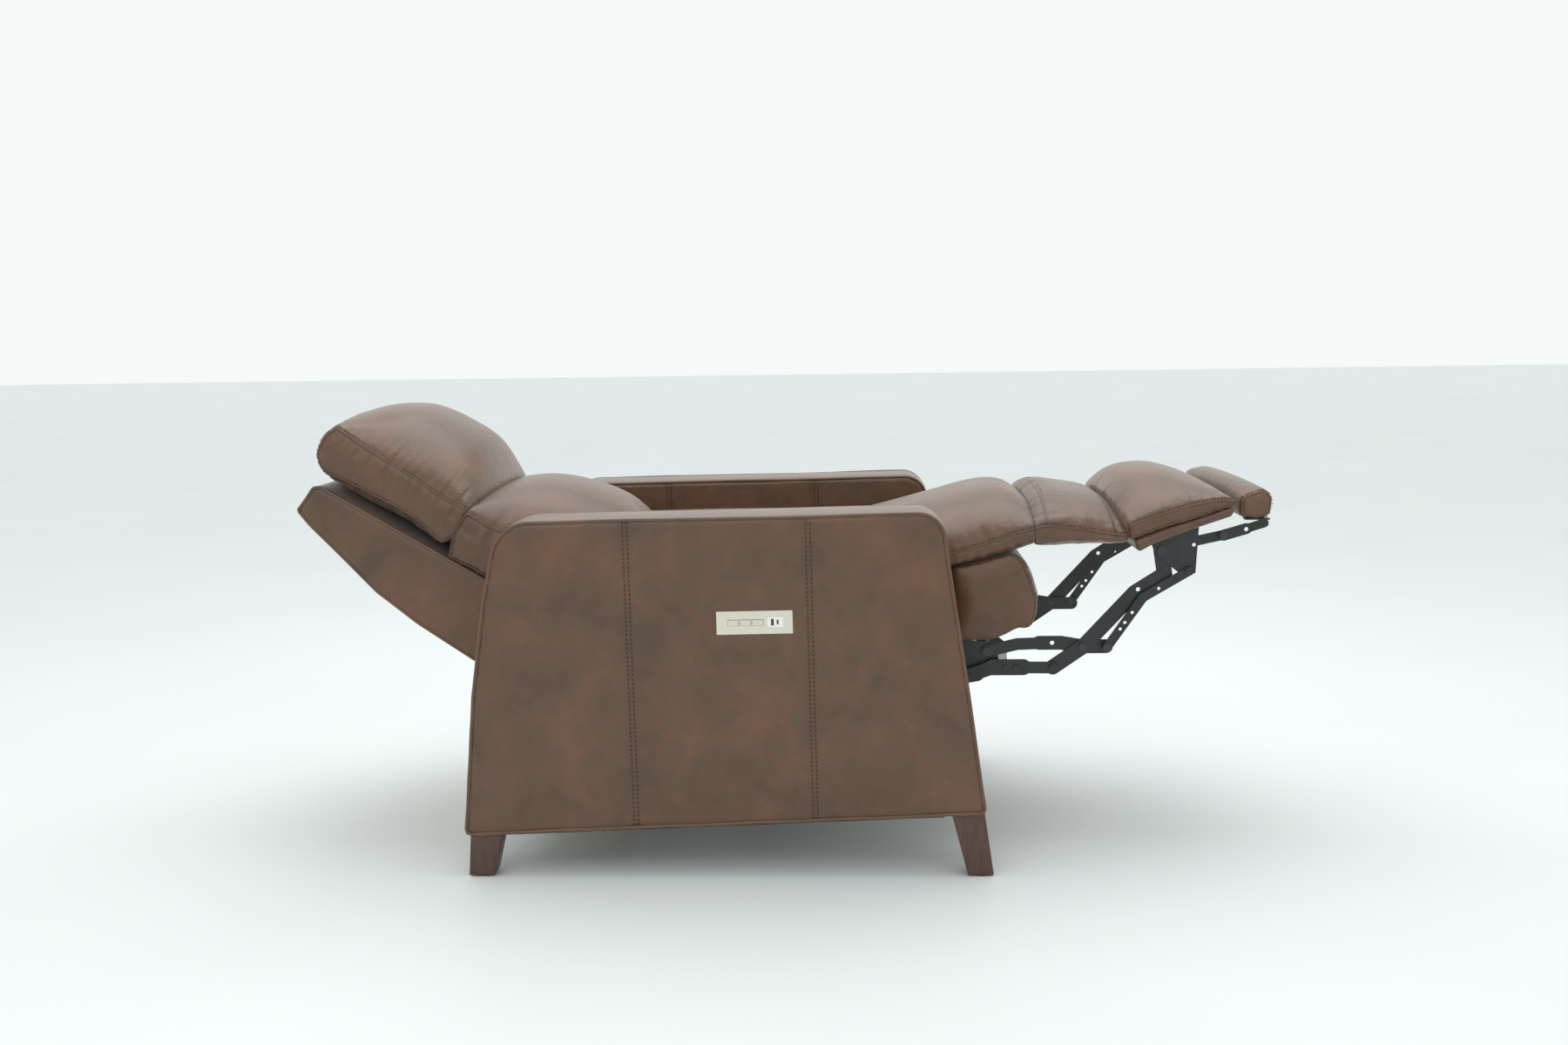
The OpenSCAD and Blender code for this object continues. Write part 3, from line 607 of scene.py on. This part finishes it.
def softBox(name, x, forward, up, widthMm, heightMm, watts, aim):
    light = bpy.data.lights.new(name, "AREA")
    light.shape = "RECTANGLE"
    light.size = widthMm * mm
    light.size_y = heightMm * mm
    light.energy = watts
    light.color = (1.0, 1.0, 1.0)
    lamp = bpy.data.objects.new(name, light)
    lamp.location = toPoint(x, forward, up)
    lamp.rotation_euler = (toPoint(*aim) - lamp.location).to_track_quat("-Z", "Y").to_euler()
    bpy.context.scene.collection.objects.link(lamp)


softBox("overheadBank", 500.0, 100.0, 2900.0, 2600.0, 2600.0, 37.0, (0.0, 0.0, 0.0))
softBox("nearFill", -3200.0, -900.0, 2300.0, 2400.0, 1600.0, 12.0, (0.0, 0.0, 400.0))
print("camera and studio ready")


# Arms

armLook = {
    "rearRise": (22.0, 255.0),  # how the rear edge leans in on its way up
    "rearHigh": (46.0, 150.0),
    "topRear": (76.0, 6.0),
    "topFront": (76.0, -5.0),
    "frontHigh": (66.0, 74.0),
    "frontLow": (29.0, 214.0),
    "lowDrop": 37.0,  # the underside is this much lower at the rear
    "rearRound": 66.0,
    "frontRound": 50.0,
    "footRound": 12.0,
    "roundShare": 0.85,  # a vertex bevel's offset for the radius that it should show
    "edgeRound": 6.0,
    "voxel": 7.0,
    "bandSwell": 2.5,
    "panelSwell": 2.4,
    "swellReach": 90.0,  # a panel is full this far from its seams
    "pipingRadius": 3.4,
    "seams": (306.0, 626.0),  # places of the upright seams from the rear end
    "seamLean": 0.4,
    "seamDepth": 2.2,
    "seamWidth": 5.0,
    "threadPitch": 6.0,
    "threadLength": 4.2,
    "threadRadius": 0.7,
    "threadSide": 4.0,
}
plateBed = {"inset": 5.0, "sunk": 5.5, "rim": 0.8, "reach": 26.0}


def armOutline(look, rear, front, low, high):
    top = high - 5
    lowFront = low + look["lowDrop"]
    return [
        (rear, low),
        (rear + look["rearRise"][0], low + look["rearRise"][1]),
        (rear + look["rearHigh"][0], top - look["rearHigh"][1]),
        (rear + look["topRear"][0], top - look["topRear"][1]),
        (front - look["topFront"][0], top - look["topFront"][1]),
        (front - look["frontHigh"][0], top - look["frontHigh"][1]),
        (front - look["frontLow"][0], lowFront + look["frontLow"][1]),
        (front, lowFront),
    ]


def armPanel(bm, outline, look, x):
    # A flat panel with its corners rounded by vertex bevels
    verts = [bm.verts.new(toPoint(x, f, z)) for f, z in outline]
    bm.faces.new(verts)
    corners = (
        (3, look["rearRound"]), (4, look["frontRound"]), (0, look["footRound"]), (7, look["footRound"]),
    )
    for index, radius in corners:
        bmesh.ops.bevel(
            bm,
            geom=[verts[index]],
            offset=radius * look["roundShare"] * mm,
            segments=10,
            profile=0.5,
            affect="VERTICES",
            material=-1,
        )
    bm.faces.ensure_lookup_table()
    return bm.faces[0]


def beddedPlate(arm, normals):
    # The leather dips in round the control plate and runs on behind it
    (plateX, plateRear, plateLow), (_, plateFront, plateHigh) = lowHigh("control_plate")
    for v, normal in zip(arm.data.vertices, normals):
        if normal.x > -0.6:
            continue
        forward, up = -v.co.y / mm, v.co.z / mm
        beyond = max(plateRear - forward, forward - plateFront, plateLow - up, up - plateHigh)
        if beyond < -plateBed["inset"]:
            v.co.x = (plateX + plateBed["sunk"]) * mm
        elif beyond < plateBed["reach"]:
            share = max(0.0, beyond) / plateBed["reach"]
            v.co.x = max(v.co.x, (plateX + plateBed["rim"]) * mm * (1 - share) + v.co.x * share)


def makeArm(side):
    look = armLook
    node = side + "_arm_cover"
    (x0, rear, low), (x1, front, high) = lowHigh(node)
    outer, inner = (x0, x1) if side == "right" else (x1, x0)
    outline = armOutline(look, rear, front, low, high)
    bm = bmesh.new()
    panel = armPanel(bm, outline, look, x0)
    rim = [v.co.copy() for v in panel.verts]
    grown = bmesh.ops.extrude_face_region(bm, geom=[panel])["geom"]
    moved = [g for g in grown if isinstance(g, bmesh.types.BMVert)]
    bmesh.ops.translate(bm, verts=moved, vec=((x1 - x0) * mm, 0, 0))
    bmesh.ops.recalc_face_normals(bm, faces=bm.faces)
    edges = [e for e in bm.edges if abs(e.verts[0].co.x - e.verts[1].co.x) < 1e-6]
    bmesh.ops.bevel(
        bm,
        geom=edges,
        offset=look["edgeRound"] * mm,
        segments=3,
        profile=0.5,
        affect="EDGES",
        material=-1,
    )
    arm = newObject(side + "_arm_leather", bm, finishes["leather"])
    remeshed(arm, look["voxel"])
    middle = (x0 + x1) / 2 * mm
    halfThick = (x1 - x0) / 2 * mm
    normals = [v.normal.copy() for v in arm.data.vertices]
    for v, normal in zip(arm.data.vertices, normals):
        across = (v.co.x - middle) / halfThick
        if normal.z > -0.6:
            v.co += normal * (1 - abs(normal.x)) * look["bandSwell"] * mm * (1 - across * across)
        forward = -v.co.y / mm
        if abs(normal.x) > 0.6:
            beds = [rear + s for s in look["seams"]]
            gap = min(abs(forward - b) for b in beds + [rear + 30, front - 40])
            reach = look["swellReach"]
            rise = min(1.0, gap / reach) * min(1.0, (v.co.z / mm - low) / reach)
            v.co.x += math.copysign(look["panelSwell"] * mm * max(0.0, rise), normal.x)
    if side == "right":
        beddedPlate(arm, normals)
    skin = treeOf(arm)
    extras = []
    for x in (x0, x1):
        path = [Vector((x * mm, p.y, p.z)) for p in rim]
        laid = pipingLine(skin, path, 8.0)
        label = "inner" if x == inner else "outer"
        pipeName = f"{side}_arm_piping_{label}"
        extras.append(tube(pipeName, laid, look["pipingRadius"], finishes["leather"], True))
    for number, offset in enumerate(look["seams"]):
        forward = rear + offset
        for x in (outer, inner):
            line = [
                toPoint(x, forward + 4.0 - look["seamLean"] * t, low + 14 + (high - low - 26) * t / 20)
                for t in range(21)
            ]
            laid = onSurface(skin, line, 2.0)
            pressSeam(arm, laid, look["seamDepth"], look["seamWidth"])
            for k, away in enumerate((-look["threadSide"], look["threadSide"])):
                extras.append(
                    stitches(
                        f"{side}_arm_thread_{number}_{int(x > 0)}_{k}",
                        laid,
                        look["threadPitch"],
                        look["threadLength"],
                        look["threadRadius"],
                        away,
                    )
                )
    smoothShade(arm)
    place(arm, "base", "leather", node)
    for extra in extras:
        place(extra, "base", "leather")


for side in ("right", "left"):
    makeArm(side)
print("arms made")


# Cushions
# Each row of an outline is a place at the side, then the same place at the middle, in mm
# It is (forward, up) from the rear low corner of the node's box
# On the back it is (along, out), measured from the foot of the back's front face

backFace = {"tilt": 149.6, "footForward": 340, "footUp": 169}  # the foot, from the back cover's corner


def rearLow(node):
    # The rear low corner of a node's box, in whole mm
    (_, rear, low), _ = lowHigh(node)
    return round(rear), round(low)


def placed(look, pairs):
    # An outline's places as (forward, up)
    if not look.get("onBack"):
        rear, low = rearLow(look["node"])
        return [(rear + f, low + u) for f, u in pairs]
    rear, low = rearLow("back_cover")
    tilt = math.radians(backFace["tilt"])
    return [
        (
            rear + backFace["footForward"] + along * math.cos(tilt) + out * math.sin(tilt),
            low + backFace["footUp"] + along * math.sin(tilt) - out * math.cos(tilt),
        )
        for along, out in pairs
    ]


cushions = {
    "head_pillow": {
        "node": "headrest_cushion",
        "body": "head",
        "rows": [
            (-5, 121, 5, 93), (82, 74, 88, 44), (151, 34, 157, 8), (214, -20, 221, -26),
            (243, -4, 263, -6), (262, 28, 288, 32), (267, 46, 293, 80), (218, 73, 257, 154),
            (174, 104, 195, 198), (122, 138, 131, 225), (79, 167, 75, 228), (29, 204, 23, 220),
            (3, 184, -13, 196), (-14, 148, -25, 158),
        ],
        "sharp": (0, 3, 6, 11),
        "half": 265.0,
        "power": 2.6,
        "topRun": (6, 11),
        "fullSeam": True,
        "cap": 7.0,
        "gather": 1.3,
        "fill": 0.85,
    },
    "lumbar_pad": {
        "node": "lumbar_cushion",
        "body": "back",
        "onBack": True,
        "rows": [
            (-200, -3, -200, -6), (-60, -3, -60, -6), (74, -3, 76, -6), (86, 50, 92, 70),
            (82, 92, 66, 140), (20, 92, 12, 178), (-60, 104, -50, 203), (-140, 118, -130, 218),
            (-205, 124, -205, 214), (-224, 70, -232, 130),
        ],
        "sharp": (0, 2, 4, 8),
        "half": 270.0,
        "power": 2.6,
        "topRun": (4, 8),
        "fullSeam": True,
        "cap": 7.0,
        "gather": 1.3,
        "fill": 0.85,
    },
    "seat_pad": {
        "node": "seat_cushion",
        "body": "seat",
        "rows": [
            (4, -1, 4, 5), (166, 9, 166, 13), (326, 39, 326, 43), (486, 65, 486, 67),
            (580, 83, 580, 85), (637, 98, 637, 96), (693, 117, 696, 113), (736, 126, 737, 121),
            (736, 155, 737, 193), (693, 144, 694, 211), (637, 125, 634, 206),
            (571, 106, 562, 187), (466, 77, 456, 159), (326, 47, 316, 125), (146, 23, 136, 87),
            (8, 17, 4, 55),
        ],
        "sharp": (0, 7, 8),
        "half": 270.0,
        "power": 3.0,
        "topRun": (8, 15),
        "fullSeam": False,
        "cap": 7.0,
        "gather": 1.2,
        "fill": 0.8,
    },
    "front_rail_pad": {
        "node": "front_bolster",
        "body": "seat",
        "rows": [
            (2, -2, 2, -2), (76, 0, 76, 0), (123, 20, 123, 20), (139, 21, 142, 20),
            (153, 34, 160, 34), (157, 78, 166, 80), (154, 86, 162, 90), (141, 126, 148, 130),
            (126, 153, 128, 154), (112, 161, 112, 162), (2, 132, 2, 132),
        ],
        "sharp": (0, 9, 10),
        "half": 266.0,
        "power": 4.0,
        "topRun": (3, 9),
        "fullSeam": False,
        "cap": 5.0,
        "gather": 1.4,
        "fill": 0.7,
    },
    "chaise_pad": {
        "node": "chaise_flap",
        "body": "flap",
        "rows": [
            (-4, -9, -4, -9), (47, -4, 47, -4), (103, -2, 103, -2), (169, -6, 168, -2),
            (172, 8, 172, 40), (134, 15, 134, 65), (89, 22, 84, 75), (47, 27, 44, 81),
            (20, 29, 18, 85), (-4, 24, -4, 68),
        ],
        "sharp": (0, 3, 9),
        "half": 270.0,
        "power": 2.8,
        "topRun": (4, 9),
        "fullSeam": False,
        "cap": 6.0,
        "gather": 0.9,
        "crossSeams": (21, 148),
        "fill": 0.75,
    },
    "footrest_pad_leather": {
        "node": "footrest_pad",
        "body": "footrest",
        "rows": [
            (11, -14, 11, -12), (80, 8, 80, 8), (143, 28, 143, 28), (198, 49, 201, 47),
            (204, 61, 209, 60), (178, 64, 179, 77), (124, 54, 121, 97), (89, 43, 81, 101),
            (49, 30, 31, 92), (10, 16, -11, 62),
        ],
        "sharp": (0, 3, 4, 9),
        "half": 276.0,
        "power": 2.4,
        "topRun": (4, 9),
        "fullSeam": True,
        "cap": 6.0,
        "gather": 1.5,
        "fill": 0.85,
    },
    "extension_pad_leather": {
        "node": "extension_pad",
        "body": "extension",
        "rows": [
            (-3, 2, -3, 2), (23, -1, 23, -1), (47, 0, 49, 1), (55, 9, 59, 11), (57, 31, 61, 33),
            (53, 45, 55, 49), (41, 53, 39, 59), (15, 45, 13, 60), (1, 37, -1, 53),
        ],
        "sharp": (0, 2, 6, 8),
        "half": 250.0,
        "power": 3.0,
        "topRun": (6, 8),
        "fullSeam": True,
        "cap": 5.0,
        "gather": 1.0,
        "fill": 0.85,
    },
}


cushionSewing = {
    "perSpan": 6,  # points between two rows of an outline
    "rings": 40,
    "voxel": 6.0,
    "pressure": 4.0,
    "fillShare": 0.4,
    "seamDepth": 2.4,
    "crossDepth": 2.6,
    "seamWidth": 5.0,
    "seamRadius": 1.7,
    "seamLift": 0.4,
    "crossEnd": 6,  # a cross seam stops this far from the side
    "crossGather": 0.7,
    "threadPitch": 5.0,
    "threadLength": 3.6,
    "threadRadius": 0.6,
    "threadSide": 5.0,
}


def sewnLine(label, laid, closed):
    # The raised seam and the thread beside it
    sewing = cushionSewing
    name, kind, end = label
    line = [p + n * sewing["seamLift"] * mm for p, n in laid]
    seam = tube(f"{name}_{kind}seam_{end}", line, sewing["seamRadius"], finishes["leather"], closed)
    threads = stitches(
        f"{name}_{kind}thread_{end}",
        laid,
        sewing["threadPitch"],
        sewing["threadLength"],
        sewing["threadRadius"],
        sewing["threadSide"],
    )
    return [seam, threads]


def makeCushion(name, look):
    sewing = cushionSewing
    perSpan = sewing["perSpan"]
    side = splineLoop(placed(look, [row[:2] for row in look["rows"]]), perSpan, look["sharp"])
    middle = splineLoop(placed(look, [row[2:] for row in look["rows"]]), perSpan, look["sharp"])
    pad = loftAcross(
        name, side, middle, look["half"], sewing["rings"], look["power"], finishes["leather"]
    )
    remeshed(pad, sewing["voxel"])
    puffUp(pad, sewing["pressure"], look["cap"], sewing["fillShare"])
    softened(pad, 0.5, 2)
    subdivided(pad)
    skin = treeOf(pad)
    extras = []
    for x in (-look["half"], look["half"]):
        first, last = (0, len(side)) if look["fullSeam"] else [k * perSpan for k in look["topRun"]]
        path = [toPoint(x, p.x, p.y) for p in side[first : last + 1]]
        laid = onSurface(skin, path, 4.0, look["fullSeam"])
        gathers(pad, laid, look["gather"], len(name) + int(x > 0))
        pressSeam(pad, laid, sewing["seamDepth"], sewing["seamWidth"])
        skin = treeOf(pad)
        laid = onSurface(skin, [p for p, _ in laid], 3.0, look["fullSeam"])
        extras += sewnLine((name, "", "near" if x < 0 else "far"), laid, look["fullSeam"])
    for number, offset in enumerate(look.get("crossSeams", ())):
        forward = rearLow(look["node"])[0] + offset
        laid = onSurface(skin, acrossTop(skin, forward, look["half"] - sewing["crossEnd"]), 3.0)
        gathers(pad, laid, look["gather"] * sewing["crossGather"], number + 40)
        pressSeam(pad, laid, sewing["crossDepth"], sewing["seamWidth"])
        skin = treeOf(pad)
        laid = onSurface(skin, [p for p, _ in laid], 3.0)
        extras += sewnLine((name, "cross_", number), laid, False)
    smoothShade(pad)
    place(pad, look["body"], "leather", look["node"])
    for extra in extras:
        place(extra, look["body"], "leather")


for name, look in cushions.items():
    makeCushion(name, look)
    print("cushion made:", name)


# Footrest board wrap and back shell

# Each outline is laid out as the cushions' are, and piping is the radius of its piping

shells = {
    "footrest_board_wrap": {
        "node": "footrest_board",
        "body": "footrest",
        "rows": [
            (18, -13), (39, 0), (117, 30), (187, 53), (191, 72), (132, 52), (69, 32), (10, 11),
        ],
        "half": 274.0,
        "round": 5.0,
        "voxel": 5.0,
        "fill": 0.3,
        "piping": 0,
    },
    "back_shell": {
        "node": "back_cover",
        "body": "back",
        "onBack": True,
        "rows": [
            (-206, -4), (-60, 0), (150, 0), (340, 0), (351, -8), (357, -62), (324, -76),
            (270, -91), (156, -124), (62, -138), (-65, -146), (-160, -120), (-206, -62),
        ],
        "half": 270.0,
        "round": 5.0,
        "voxel": 6.0,
        "fill": 0.5,
        "piping": 3.2,
    },
}


def makeShell(name, look):
    bm = bmesh.new()
    rows = placed(look, look["rows"])
    face = bm.faces.new([bm.verts.new(toPoint(-look["half"], f, z)) for f, z in rows])
    rim = [v.co.copy() for v in face.verts]
    grown = bmesh.ops.extrude_face_region(bm, geom=[face])["geom"]
    moved = [g for g in grown if isinstance(g, bmesh.types.BMVert)]
    bmesh.ops.translate(bm, verts=moved, vec=(2 * look["half"] * mm, 0, 0))
    bmesh.ops.recalc_face_normals(bm, faces=bm.faces)
    bmesh.ops.bevel(
        bm, geom=list(bm.edges), offset=look["round"] * mm, segments=3, profile=0.5,
        affect="EDGES", material=-1,
    )
    shell = newObject(name, bm, finishes["leather"])
    remeshed(shell, look["voxel"])
    softened(shell, 0.5, 2)
    smoothShade(shell)
    place(shell, look["body"], "leather", look["node"])
    if look["piping"]:
        for x in (-1, 1):
            path = [Vector((x * look["half"] * mm, p.y, p.z)) for p in rim]
            laid = pipingLine(treeOf(shell), path, 6.0)
            label = "near" if x < 0 else "far"
            pipe = tube(f"{name}_piping_{label}", laid, look["piping"], finishes["leather"], True)
            place(pipe, look["body"], "leather")


for name, look in shells.items():
    makeShell(name, look)
print("shells made")


# Legs with eased edges, and black frames round the keys as painted shadow in their gaps


legEase = 1.6
# Thin black tubes round each key, a painted shadow of the recess gap
keyShadowRim = {"rise": 3.0, "depth": 1.8, "radius": 0.8}


def easedCopy(node, body, slot, widthMm):
    source = frame["nodes"][node]
    bm = bmesh.new()
    bm.from_mesh(source.data)
    bm.transform(source.matrix_world)
    bmesh.ops.remove_doubles(bm, verts=bm.verts, dist=0.02 * mm)
    bmesh.ops.dissolve_limit(bm, angle_limit=math.radians(2), verts=bm.verts, edges=bm.edges)
    edges = [e for e in bm.edges if e.is_manifold and e.calc_face_angle(0.0) > math.radians(30)]
    bmesh.ops.bevel(
        bm, geom=edges, offset=widthMm * mm, segments=3, profile=0.5, affect="EDGES", material=-1
    )
    piece = newObject(node + "_eased", bm, finishes[slot])
    smoothShade(piece, 35)
    place(piece, body, slot, node)


def makeKeyShadowRim(key):
    # A black frame in the gap round a key: painted shadow of the recess
    (keyX, keyRear, keyLow), (_, keyFront, keyHigh) = lowHigh(key + "_rocker")
    low = keyLow + keyShadowRim["rise"]
    high = keyHigh - keyShadowRim["rise"]
    corners = [(keyRear, low), (keyFront, low), (keyFront, high), (keyRear, high)]
    loop = [toPoint(keyX + keyShadowRim["depth"], f, z) for f, z in corners]
    rim = tube(key + "_key_shadow_rim", loop, keyShadowRim["radius"], finishes["black_plastic"], True, 2)
    place(rim, "base", "black_plastic")


for node in ("front_legs", "rear_legs"):
    easedCopy(node, "base", "leg_wood", legEase)
for key in ("recline", "footrest", "headrest"):
    makeKeyShadowRim(key)
print("legs eased, key rims made")
